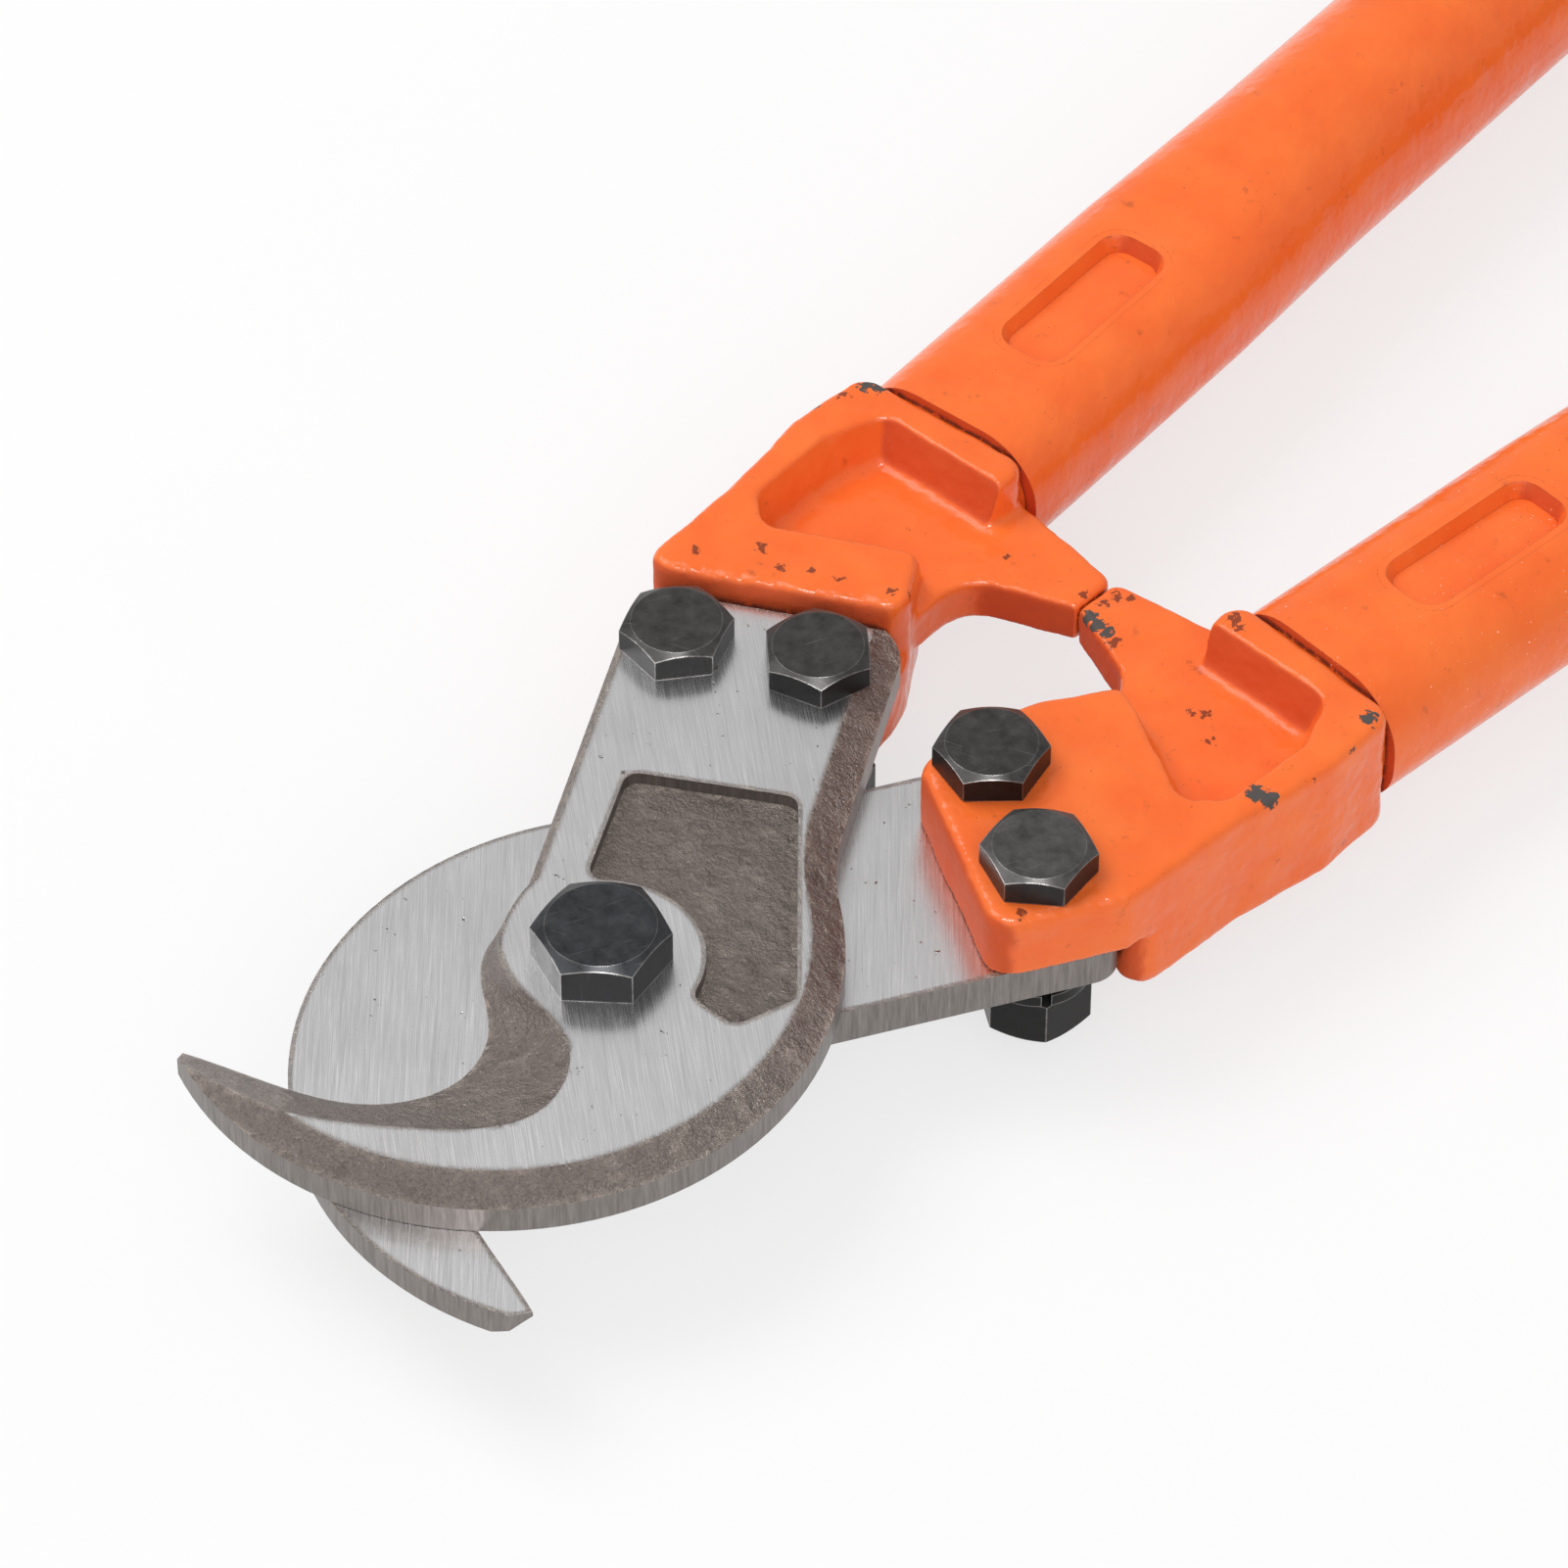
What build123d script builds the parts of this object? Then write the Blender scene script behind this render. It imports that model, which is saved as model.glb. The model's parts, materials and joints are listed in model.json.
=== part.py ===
"""Two-handed cable cutter: two hooked shear blades on one pivot bolt, each bolted to a cast
socket that carries a steel tube handle.

Frame: millimetres. The pivot axis is Z through the origin and the handles run towards +Y. The
halves are modelled about the plane where the blades shear, and each piece is written raised, so
that the end of the pivot bolt, on which the tool lies, is at z = 0. Both halves are the same
parts: the second half is the first one turned 180 degrees about Y. Every bolt head is on top.
"""
import os
from math import cos, radians, sin, sqrt, tan

from build123d import *

os.makedirs("parts", exist_ok=True)

# ---- blades: driving dimensions -----------------------------------------------------------
BLADE_THICKNESS = 8.0
BLADE_GAP = 0.1  # between the two faces that shear
BACK_RADIUS = 53.0  # round back of the hook
BACK_CENTRE = (-14.5, -7.5)
TIP_ANGLE = 247.0  # where the blunt nose of the hook starts on that back
NOSE_END = (-42.8, -45.3)  # the nose runs towards here, as far as the cutting edge
BAND_HEIGHT = 4.8  # upright band around the hook's back and the inner side of the shank
FLANK_WIDTH = 5.0  # forged slope from the band in to the outer face
SIDE_CHAMFER = 1.2  # along the outer side of the shank
EDGE_LAND = 0.8  # honed strip along the cutting edge
CUTTING_EDGE = [(-41.0, -55.0), (-21.0, -47.8), (-8.8, -41.0), (-2.6, -28.0), (-6.6, -18.1)]
CUTTING_EDGE += [(-16.8, -9.4), (-19.4, -4.0)]  # from past the nose to beside the pivot
BEVEL_TOP = [(-31.5, -61.0), (-14.0, -56.0), (2.5, -45.5), (15.2, -28.0), (8.6, -16.2)]
BEVEL_TOP += [(-4.5, -13.2), (-12.4, -9.6), (-16.4, -4.0)]
SHANK_ANGLE = 29.3  # shank against the long axis
SHANK_INNER = 29.0  # the two sides of the shank, across from the pivot
SHANK_OUTER = -15.0
SHANK_LENGTH = 80.0  # pivot to the squared end
SHANK_CORNER = 5.0
BLANK_OUTER = -40.0  # the blank is wider, before the jaw and the outer side are cut
NECK_RADIUS = 40.0  # hollow where the back runs into the shank
WAIST_ALONG = 11.0  # where the jaw's curve leaves the outer side
BOSS_RADIUS = 16.0  # ring left standing around the pivot
POCKET = [(-24.5, 31.0), (-1.2, 45.2), (27.8, 14.0), (24.5, 3.4), (9.0, 3.4), (-11.0, 6.0)]
POCKET_DEPTH = 2.3
POCKET_CORNER = 2.6

# ---- fasteners: driving dimensions --------------------------------------------------------
PIVOT_DIAMETER = 12.0
PIVOT_HEX = 19.0
PIVOT_HEAD = 7.1
PIVOT_NUT = 12.0
PIVOT_CLEARANCE = 0.05  # radial running fit
PIVOT_PLAY = 0.1  # the lower blade turns free of the washer
WASHER_DIAMETER = 24.0
WASHER_THICKNESS = 2.5
NYLON_DIAMETER = 15.0  # ring that locks the pivot nut
NYLON_HEIGHT = 2.6
BOLT_DIAMETER = 10.0
BOLT_HEX = 16.0
BOLT_HEAD = 5.0
BOLT_NUT = 9.0
BOLT_CLEARANCE = 0.25  # radial
SPRING_DIAMETER = 17.6  # split spring washer under each nut
SPRING_THICKNESS = 2.2
SPRING_GAP = 1.5
BOLT_ACROSS = {"inner": 17.3, "outer": -5.7}  # bolt places across the shank
BOLT_FROM_END = 11.6  # back from the shank's squared end
HEX_TURN = {  # how far round each head was left when it was tightened
    "pivot": 40.0,
    "pivot_nut": 25.0,
    "left_inner": 16.0,
    "left_outer": 52.0,
    "right_inner": 44.0,
    "right_outer": 37.0,
}
HEX_CROWN = 0.91  # flat circle on top of a hexagon, as a share of its width
CROWN_ANGLE = 30.0
PIVOT_PAST_NUT = 2.0  # thread that stands out of the nut
BOLT_PAST_NUT = 1.0
THREAD_CHAMFER = 1.0

# ---- cast sockets: driving dimensions -----------------------------------------------------
# points of the casting are given along X and Y from the middle of the shank's end
CAST_HALF = 12.0  # half thickness of the rim
CAST_CORNER = 4.0  # rounding of the outline, seen from above
CAST_EDGE = 1.8  # rounding of the upper and lower edges
WEB_HALF = 4.0
SHOULDER_OUTER = -16.0  # the shoulder's outer end, across from the pivot
SEAT_CLEARANCE = 0.2  # shank end against the shoulder
CAST_SIDE = [(15.4, 16.2), (18.4, 34.2)]
RIM_END = (-14.6, 30.2)  # inner side of the block, where only the web goes on
CAST_POCKET = [(8.0, 45.3), (11.8, 35.2), (11.0, 18.0), (5.3, 12.8), (-12.2, 22.6), (-17.9, 25.1)]
POCKET_MOUTH = [(-27.2, 17.2), (-37.2, 20.2), (-37.2, 46.0)]  # its open side
POCKET_CORNERS = 4.5  # rounding of the pocket's outline
POCKET_FLOOR = 2.0  # rounding between its walls and the web
POCKET_DRAFT = 18.0  # lean of its walls
TONGUE_LENGTH = 22.5  # back along the shank from its end
TONGUE_TIP = 21.5  # its inner corner there, across the shank
TONGUE_SIDE = (28.0, 6.0)  # where its inner side turns, across and back from the shank's end
TONGUE_CORNER = 4.5
LUG_GAP = 0.3  # between the two stop lugs when closed
LUG = (39.2, 48.2)  # the stop face, along Y
LUG_CORNER = 2.5
WEB_EDGE = 1.0
WEB_TOP = [(-13.2, 51.8), (-33.2, 49.1)]
ARCH = [(-21.2, 32.1), (-21.8, 18.2)]  # below the web, from the lug to the shoulder
ARCH_RADIUS = 8.0
WEB_UNDER_RIM = [(-9.2, 10.2), (11.8, 12.2), (13.8, 40.2)]

# ---- handles: driving dimensions ----------------------------------------------------------
HANDLE_SPLAY = 4.5
SEAT = (0.0, 51.4)  # where the handle's axis meets the casting, from the middle of the shank's end
TUBE_DIAMETER = 33.5
TUBE_WALL = 2.0
TUBE_LENGTH = 413.0
CRIMP_WIDTH = 35.6  # tube end pressed to an oval over the spigot
CRIMP_HEIGHT = 25.0
CRIMP_CORNER = 11.0
CRIMP_LENGTH = 58.0
CRIMP_BLEND = 34.0
ROUND_FLAT = 0.05  # keeps the same eight faces where the oval turns round
SEAM = 0.5  # open joint between casting and tube
SPIGOT_LENGTH = 55.0
SPIGOT_CLEARANCE = 0.1
DIMPLE_START = 20.0
DIMPLE_LENGTH = 31.0
DIMPLE_WIDTH = 10.0
DIMPLE_DEPTH = 1.6
DIMPLE_CORNER = 3.0
DIMPLE_TAPER = 35.0
GRIP_LENGTH = 210.0
GRIP_WALL = 2.6
GRIP_CLEARANCE = 0.05
GRIP_END = 4.0  # closed end past the tube
GRIP_CHAMFER = 3.0
COLLAR_HEIGHT = 2.0  # bead around the grip's mouth
COLLAR_WIDTH = 7.0
COLLAR_CHAMFER = 1.4

# ---- derived values -----------------------------------------------------------------------
FACE = BLADE_GAP / 2
BLADE_TOP = FACE + BLADE_THICKNESS
PIVOT_WASHER_TOP = -BLADE_TOP - PIVOT_PLAY
PIVOT_NUT_TOP = PIVOT_WASHER_TOP - WASHER_THICKNESS
PIVOT_NUT_FOOT = PIVOT_NUT_TOP - PIVOT_NUT
PIVOT_END = PIVOT_NUT_FOOT - PIVOT_PAST_NUT
SIN_SHANK = sin(radians(SHANK_ANGLE))
COS_SHANK = cos(radians(SHANK_ANGLE))
BOLT_ALONG = SHANK_LENGTH - BOLT_FROM_END
HANDLE_AXIS = Vector(0, 1, 0).rotate(Axis.Z, -HANDLE_SPLAY)
HANDLE_ACROSS = Vector(1, 0, 0).rotate(Axis.Z, -HANDLE_SPLAY)


def on_blade(across, along):
    """A point given across and along the shank of the upper blade, which leans to the left."""
    return Vector(across * COS_SHANK - along * SIN_SHANK, across * SIN_SHANK + along * COS_SHANK)


def on_casting(across, along):
    """The same on the right-hand side, for the casting and the lower blade's shank."""
    point = on_blade(across, along)
    return Vector(-point.X, point.Y)


def past_shank(points):
    """Points of the casting, which are given from the middle of the shank's end."""
    return [on_casting(0, SHANK_LENGTH) + Vector(*point) for point in points]


def on_back(angle):
    """A point on the round back of the upper blade's hook."""
    return Vector(*BACK_CENTRE) + Vector(BACK_RADIUS, 0).rotate(Axis.Z, angle)


def across_handle(along):
    """The plane across the right-hand handle, at a distance from the casting's face."""
    return Plane(seat_middle + HANDLE_AXIS * along, x_dir=HANDLE_ACROSS, z_dir=HANDLE_AXIS)


def nearest(shapes, point):
    return shapes.sort_by_distance(point)[0]


def save(part, name):
    """Write a piece, raised from the shear plane to its height above the end of the pivot bolt."""
    with BuildPart() as piece:
        with Locations((0, 0, -PIVOT_END)):
            add(part)
    piece.part.label = name
    export_step(piece.part, f"parts/{name}.step")


def save_pair(part, name, other):
    """Write a part and its twin of the other half, turned over about the long axis."""
    with BuildPart() as twin:
        add(part, rotation=(0, 180, 0))
    save(part, name)
    save(twin.part, other)


# ---- blades -------------------------------------------------------------------------------
tip = on_back(TIP_ANGLE)
centre_across = BACK_CENTRE[0] * COS_SHANK + BACK_CENTRE[1] * SIN_SHANK
centre_along = BACK_CENTRE[1] * COS_SHANK - BACK_CENTRE[0] * SIN_SHANK
neck_along = centre_along + sqrt(BACK_RADIUS**2 - (SHANK_INNER - centre_across) ** 2)
neck = on_blade(SHANK_INNER, neck_along)
uncut = SHANK_LENGTH + FLANK_WIDTH  # the end is cut square, through the flank
waist = on_blade(SHANK_OUTER, WAIST_ALONG)
past_end = on_blade(SHANK_OUTER, uncut + FLANK_WIDTH)
outside = BLANK_OUTER - BACK_RADIUS  # past the blank on the open side of the jaw


def beside_blade(level, run):
    """What is cut away at one level: the jaw's mouth, from a curve, and all beyond the outer side."""
    start = Vector(run[0])
    with BuildSketch(Plane.XY.offset(level)) as section:
        with BuildLine():
            Spline(*run, waist)
            Polyline(waist, past_end, (outside, past_end.Y), (outside, start.Y), start)
        make_face()
    return section.sketch


with BuildPart() as jaw:
    extrude(beside_blade(0, CUTTING_EDGE), amount=FACE + EDGE_LAND)
    loft([beside_blade(FACE + EDGE_LAND, CUTTING_EDGE), beside_blade(BLADE_TOP, BEVEL_TOP)], ruled=True)

with BuildPart() as upper_blade:
    with BuildSketch(Plane.XY.offset(FACE)) as outline:
        with BuildLine():
            ThreePointArc(tip, on_back(0), neck)
            Polyline(neck, on_blade(SHANK_INNER, uncut), on_blade(BLANK_OUTER, uncut), NOSE_END, tip)
        make_face()
        fillet(nearest(outline.vertices(), neck), NECK_RADIUS)
    extrude(amount=BLADE_THICKNESS)
    outer_face = upper_blade.faces().sort_by(Axis.Z)[-1]
    chamfer(outer_face.edges(), FLANK_WIDTH, BLADE_THICKNESS - BAND_HEIGHT, reference=outer_face)
    add(jaw.part, mode=Mode.SUBTRACT)
    with BuildSketch(Plane.XY.offset(FACE)):
        with BuildLine():
            Polyline(
                on_blade(SHANK_INNER, SHANK_LENGTH),
                on_blade(BLANK_OUTER, SHANK_LENGTH),
                on_blade(BLANK_OUTER, uncut),
                on_blade(SHANK_INNER, uncut),
                close=True,
            )
        make_face()
    extrude(amount=BLADE_THICKNESS, mode=Mode.SUBTRACT)
    upright = upper_blade.edges().filter_by(Axis.Z)
    for corner in (SHANK_INNER, SHANK_OUTER):
        fillet(nearest(upright, on_blade(corner, SHANK_LENGTH)), SHANK_CORNER)
    top_edges = upper_blade.faces().sort_by(Axis.Z)[-1].edges()
    side = on_blade(SHANK_OUTER, (WAIST_ALONG + SHANK_LENGTH) / 2) + Vector(0, 0, BLADE_TOP)
    chamfer(nearest(top_edges, side), SIDE_CHAMFER)
    with BuildSketch(Plane.XY.offset(BLADE_TOP)) as pocket:
        with BuildLine():
            Polyline(*POCKET, close=True)
        make_face()
        Circle(BOSS_RADIUS, mode=Mode.SUBTRACT)
        fillet(pocket.vertices(), POCKET_CORNER)
    extrude(amount=-POCKET_DEPTH, mode=Mode.SUBTRACT)
    Hole(PIVOT_DIAMETER / 2 + PIVOT_CLEARANCE)
    with Locations(*[on_blade(across, BOLT_ALONG) for across in BOLT_ACROSS.values()]):
        Hole(BOLT_DIAMETER / 2 + BOLT_CLEARANCE)
save_pair(upper_blade.part, "upper_blade", "lower_blade")


# ---- fasteners ----------------------------------------------------------------------------
def hex_seat(point, level, turn):
    """The level plane that a head or nut seats on, turned as the fastener was left."""
    return Plane((point.X, point.Y, level), x_dir=Vector(1, 0, 0).rotate(Axis.Z, turn), z_dir=(0, 0, 1))


def crown_foot(size, height):
    """Radius at the foot of the cone that bevels the corners of a hexagon of this height."""
    return size / 2 * HEX_CROWN + height / tan(radians(CROWN_ANGLE))


def make_bolt(size, head, diameter, seat, end):
    """A hexagon bolt whose head stands on the seat and whose shank runs down to z = end."""
    with BuildPart() as bolt:
        with BuildSketch(seat):
            RegularPolygon(size / 2, 6, major_radius=False)
        extrude(amount=head)
        with Locations(seat.offset(head / 2)):
            Cone(crown_foot(size, head), size / 2 * HEX_CROWN, head, mode=Mode.INTERSECT)
        with BuildSketch(seat):
            Circle(diameter / 2)
        extrude(amount=end - seat.origin.Z)
        chamfer(bolt.edges().sort_by(Axis.Z)[0], THREAD_CHAMFER)
    return bolt.part


def make_nut(size, height, diameter, seat):
    """A hexagon nut, bevelled below, whose flat upper face is at the seat."""
    with BuildPart() as nut:
        with BuildSketch(seat):
            RegularPolygon(size / 2, 6, major_radius=False)
        extrude(amount=-height)
        with Locations(seat.offset(-height / 2)):
            Cone(size / 2 * HEX_CROWN, crown_foot(size, height), height, mode=Mode.INTERSECT)
        with Locations(seat):
            Hole(diameter / 2)
    return nut.part


# The pivot: the head holds the upper blade, the lower blade turns above the washer.
pivot_head_seat = hex_seat(Vector(), BLADE_TOP, HEX_TURN["pivot"])
pivot_nut_seat = hex_seat(Vector(), PIVOT_NUT_TOP, HEX_TURN["pivot_nut"])
save(make_bolt(PIVOT_HEX, PIVOT_HEAD, PIVOT_DIAMETER, pivot_head_seat, PIVOT_END), "pivot_bolt")

with BuildPart() as pivot_washer:
    with BuildSketch(Plane.XY.offset(PIVOT_WASHER_TOP)):
        Circle(WASHER_DIAMETER / 2)
        Circle(PIVOT_DIAMETER / 2 + BOLT_CLEARANCE, mode=Mode.SUBTRACT)
    extrude(amount=-WASHER_THICKNESS)
save(pivot_washer.part, "pivot_washer")

with BuildPart() as pivot_nut:
    add(make_nut(PIVOT_HEX, PIVOT_NUT, PIVOT_DIAMETER, pivot_nut_seat))
    with BuildSketch(Plane.XY.offset(PIVOT_NUT_FOOT)):
        Circle(NYLON_DIAMETER / 2)
    extrude(amount=NYLON_HEIGHT, mode=Mode.SUBTRACT)
save(pivot_nut.part, "pivot_nut")

with BuildPart() as pivot_nut_insert:
    with BuildSketch(Plane.XY.offset(PIVOT_NUT_FOOT)):
        Circle(NYLON_DIAMETER / 2)
        Circle(PIVOT_DIAMETER / 2, mode=Mode.SUBTRACT)
    extrude(amount=NYLON_HEIGHT)
save(pivot_nut_insert.part, "pivot_nut_insert")

# Two bolts on each side. On the left the casting's tongue is under the blade, on the right it
# is over it, so the levels of the heads and nuts differ.
for side, place, head_seat, foot in (
    ("left", on_blade, BLADE_TOP, -CAST_HALF),
    ("right", on_casting, CAST_HALF, -BLADE_TOP),
):
    for row, across in BOLT_ACROSS.items():
        name = f"{side}_{row}"
        point = place(across, BOLT_ALONG)
        nut_top = foot - SPRING_THICKNESS
        end = nut_top - BOLT_NUT - BOLT_PAST_NUT
        seat = hex_seat(point, head_seat, HEX_TURN[name])
        save(make_bolt(BOLT_HEX, BOLT_HEAD, BOLT_DIAMETER, seat, end), f"{name}_bolt")
        seat = hex_seat(point, nut_top, -HEX_TURN[name])
        save(make_nut(BOLT_HEX, BOLT_NUT, BOLT_DIAMETER, seat), f"{name}_nut")
        with BuildPart() as spring_washer:
            with BuildSketch(seat):
                Circle(SPRING_DIAMETER / 2)
                Circle(BOLT_DIAMETER / 2 + BOLT_CLEARANCE, mode=Mode.SUBTRACT)
                with Locations((SPRING_DIAMETER / 2, 0)):
                    Rectangle(SPRING_DIAMETER, SPRING_GAP, mode=Mode.SUBTRACT)
            extrude(amount=SPRING_THICKNESS)
        save(spring_washer.part, f"{name}_washer")

# ---- handles ------------------------------------------------------------------------------
seat_middle = past_shank([SEAT])[0]
crimp_end = across_handle(SEAM + CRIMP_LENGTH)
round_start = across_handle(SEAM + CRIMP_LENGTH + CRIMP_BLEND)
dimple_middle = seat_middle + HANDLE_AXIS * (SEAM + DIMPLE_START + DIMPLE_LENGTH / 2)


def crimp_section(inset):
    """The oval of the pressed tube end, drawn in by an inset."""
    RectangleRounded(CRIMP_WIDTH - 2 * inset, CRIMP_HEIGHT - 2 * inset, CRIMP_CORNER - inset)


def tube_form(inset):
    """The tube's shape, drawn in by an inset: oval over the spigot, then blended to round."""
    size = TUBE_DIAMETER - 2 * inset
    with BuildPart() as form:
        with BuildSketch(across_handle(SEAM)):
            crimp_section(inset)
        extrude(amount=CRIMP_LENGTH)
        with BuildSketch(crimp_end):
            crimp_section(inset)
        with BuildSketch(round_start):
            RectangleRounded(size, size, size / 2 - ROUND_FLAT)
        loft(ruled=True)
        with BuildSketch(round_start):
            Circle(size / 2)
        extrude(amount=TUBE_LENGTH - CRIMP_LENGTH - CRIMP_BLEND)
    return form.part


def dimple_form(inset):
    """Both pressed dimples as plugs whose inner faces lie an inset below the tube's surface."""
    floor = CRIMP_HEIGHT / 2 - inset
    with BuildPart() as form:
        for down in (Vector(0, 0, -1), Vector(0, 0, 1)):
            with BuildSketch(Plane(dimple_middle - down * floor, x_dir=HANDLE_AXIS, z_dir=-down)):
                RectangleRounded(DIMPLE_LENGTH, DIMPLE_WIDTH, DIMPLE_CORNER)
            extrude(amount=inset + TUBE_WALL, taper=-DIMPLE_TAPER)
    return form.part


with BuildPart() as right_tube:
    add(tube_form(0))
    add(tube_form(TUBE_WALL), mode=Mode.SUBTRACT)
    # each dimple is pressed in: the wall bulges inside as deep as it is hollow outside
    add(dimple_form(DIMPLE_DEPTH + TUBE_WALL))
    add(dimple_form(DIMPLE_DEPTH), mode=Mode.SUBTRACT)
save_pair(right_tube.part, "right_tube", "left_tube")

# the grip is drawn as half its section beside the handle's axis
sleeve = TUBE_DIAMETER / 2 + GRIP_CLEARANCE
skin = sleeve + GRIP_WALL
collar = skin + COLLAR_HEIGHT
grip_foot = SEAM + TUBE_LENGTH
grip_mouth = grip_foot - GRIP_LENGTH
collar_end = grip_mouth + COLLAR_WIDTH
with BuildPart() as right_grip:
    with BuildSketch(Plane(seat_middle, x_dir=HANDLE_ACROSS, z_dir=(0, 0, 1))) as section:
        with BuildLine():
            Polyline(
                (sleeve, grip_mouth),
                (collar, grip_mouth),
                (collar, collar_end),
                (skin, collar_end),
                (skin, grip_foot + GRIP_END),
                (0, grip_foot + GRIP_END),
                (0, grip_foot),
                (sleeve, grip_foot),
                close=True,
            )
        make_face()
        for corner in ((collar, grip_mouth), (collar, collar_end)):
            chamfer(nearest(section.vertices(), corner), COLLAR_CHAMFER)
        chamfer(nearest(section.vertices(), (skin, grip_foot + GRIP_END)), GRIP_CHAMFER)
    revolve(axis=Axis(seat_middle, HANDLE_AXIS))
save_pair(right_grip.part, "right_grip", "left_grip")

# ---- cast sockets -------------------------------------------------------------------------
shoulder = SHANK_LENGTH + SEAT_CLEARANCE
stop = LUG_GAP / 2
seat_inner = across_handle(0).from_local_coords((-CRIMP_WIDTH / 2, 0, 0))
seat_outer = across_handle(0).from_local_coords((CRIMP_WIDTH / 2, 0, 0))
shoulder_inner = on_casting(SHANK_INNER, shoulder)
shoulder_outer = on_casting(SHOULDER_OUTER, shoulder)
tongue_tip = on_casting(TONGUE_TIP, SHANK_LENGTH - TONGUE_LENGTH)
tongue_end = on_casting(SHOULDER_OUTER, SHANK_LENGTH - TONGUE_LENGTH)
tongue_side = on_casting(TONGUE_SIDE[0], SHANK_LENGTH - TONGUE_SIDE[1])
side_start, side_end = past_shank(CAST_SIDE)
rim_end = past_shank([RIM_END])[0]
lug_foot, lug_top = [Vector(stop, on_casting(0, SHANK_LENGTH).Y + along) for along in LUG]
web_top = past_shank(WEB_TOP)
arch = past_shank(ARCH)

with BuildPart() as pockets:
    with BuildSketch(Plane.XY.offset(CAST_HALF)) as hollow:
        with BuildLine():
            Polyline(*past_shank(CAST_POCKET + POCKET_MOUTH), close=True)
        make_face()
        fillet(hollow.vertices(), POCKET_CORNERS)
    extrude(amount=WEB_HALF - CAST_HALF, taper=POCKET_DRAFT)
    fillet(pockets.edges().group_by(Axis.Z)[0], POCKET_FLOOR)
    mirror(about=Plane.XY)

# the web in the middle plane, with the lug that stops the handles and the arch below it
with BuildPart() as web:
    with BuildSketch(Plane.XY.offset(-WEB_HALF)) as wall:
        with BuildLine():
            Polyline(*web_top, lug_top, lug_foot, *arch, *past_shank(WEB_UNDER_RIM), close=True)
        make_face()
        fillet(nearest(wall.vertices(), arch[0]), ARCH_RADIUS)
        fillet(nearest(wall.vertices(), lug_top), LUG_CORNER)
    extrude(amount=2 * WEB_HALF)
    levels = web.edges().group_by(Axis.Z)
    fillet(levels[0] + levels[-1], WEB_EDGE)

with BuildPart() as right_casting:
    # the block between the blade's end and the tube
    with BuildSketch(Plane.XY.offset(-CAST_HALF)) as block:
        with BuildLine():
            Polyline(
                shoulder_inner,
                shoulder_outer,
                side_start,
                side_end,
                seat_outer,
                seat_inner,
                rim_end,
                close=True,
            )
        make_face()
        for corner in (side_end, seat_outer, seat_inner):
            fillet(nearest(block.vertices(), corner), CAST_CORNER)
    extrude(amount=2 * CAST_HALF)
    # the tongue that the two bolts clamp onto the blade
    with BuildSketch(Plane.XY.offset(-FACE)) as tongue:
        with BuildLine():
            Polyline(
                tongue_tip,
                tongue_end,
                shoulder_outer,
                side_start,
                shoulder_inner,
                tongue_side,
                close=True,
            )
        make_face()
        for corner in (tongue_tip, tongue_end):
            fillet(nearest(tongue.vertices(), corner), TONGUE_CORNER)
    extrude(amount=CAST_HALF + FACE)
    # rounded edges, as cast
    upright = right_casting.edges().filter_by(Axis.Z).filter_by_position(Axis.Z, -CAST_HALF, -WEB_HALF)
    fillet([nearest(upright, corner) for corner in (shoulder_inner, shoulder_outer)], CAST_CORNER)
    levels = right_casting.faces().sort_by(Axis.Z)
    for face in (levels[0], levels[-1]):
        fillet(face.edges(), CAST_EDGE)
    # a pocket in each face leaves a rim around the web, open towards the other half
    add(pockets.part, mode=Mode.SUBTRACT)
    add(web.part)
    # the spigot inside the tube, with a hollow that each dimple is pressed into
    with BuildSketch(across_handle(-CAST_CORNER)):
        crimp_section(TUBE_WALL + SPIGOT_CLEARANCE)
    extrude(amount=CAST_CORNER + SPIGOT_LENGTH)
    add(dimple_form(DIMPLE_DEPTH + TUBE_WALL + SPIGOT_CLEARANCE), mode=Mode.SUBTRACT)
    with Locations(*[on_casting(across, BOLT_ALONG) for across in BOLT_ACROSS.values()]):
        Hole(BOLT_DIAMETER / 2 + BOLT_CLEARANCE)
save_pair(right_casting.part, "right_casting", "left_casting")
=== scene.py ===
"""Cable cutter: finish of every surface, floor, light and the photograph's camera. Metres."""
import json
from math import copysign, cos, radians, sin, tan

import bmesh
import bpy
from mathutils import Matrix, Vector


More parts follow.
